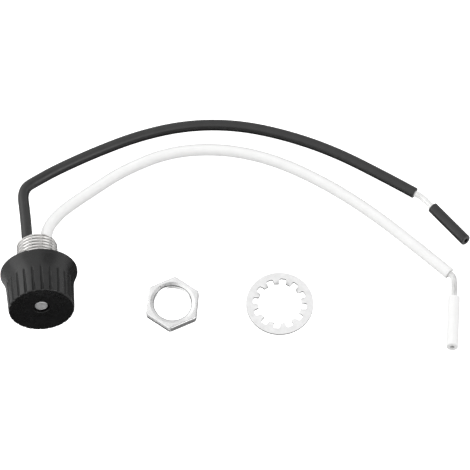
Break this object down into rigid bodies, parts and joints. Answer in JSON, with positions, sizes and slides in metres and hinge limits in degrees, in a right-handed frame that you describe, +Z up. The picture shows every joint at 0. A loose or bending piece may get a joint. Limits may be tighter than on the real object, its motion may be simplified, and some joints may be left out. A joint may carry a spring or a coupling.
{
  "type": "rotary switch",
  "caption": "Rotary on-off switch: fluted black knob on a nickel threaded bushing, black and white insulated leads with stripped ends, loose hex nut and internal-tooth lock washer.",
  "frame": {"origin": "centre of the box around the switch, its nut and its lock washer, on the table they lie on", "axes": "+Z up from the table, +X from the switch towards the nut and washer, -Y the way the knob faces"},
  "size_m": [0.1184, 0.0631, 0.0203],
  "materials": {
    "black_phenolic": "moulded, satin",
    "contact_brass": "stamped",
    "rivet_steel": "dull zinc",
    "nickel_plate": "bright nickel",
    "plate_steel": "zinc plated",
    "brown_phenolic": "moulded",
    "black_insulation": "extruded, satin",
    "white_insulation": "extruded, satin",
    "tinned_copper": "tinned strands",
    "washer_steel": "stamped, zinc plated"
  },
  "bodies": {
    "switch": {"axle_rivet": "rivet_steel", "thrust_washer": "rivet_steel", "bushing": "nickel_plate", "mounting_plate": "plate_steel", "contact_base": "brown_phenolic", "black_contact_spring": "contact_brass", "white_contact_spring": "contact_brass", "black_eyelet": "contact_brass", "white_eyelet": "contact_brass", "detent_spring": "plate_steel", "black_lead": "black_insulation", "black_slug": "black_insulation", "black_conductor": "tinned_copper", "white_lead": "white_insulation", "white_slug": "white_insulation", "white_conductor": "tinned_copper", "hex_nut": "nickel_plate", "lock_washer": "washer_steel"},
    "knob": {"knob": "black_phenolic", "bridging_contact": "contact_brass"}
  },
  "joints": [
    {"name": "knob_turn", "type": "hinge", "parent": "switch", "child": "knob", "pos_m": [-0.02973, 0.0023, 0.00937], "axis": [0.0661, -0.9701, 0.2334], "continuous": true, "deforming": ["detent_spring"]}
  ]
}
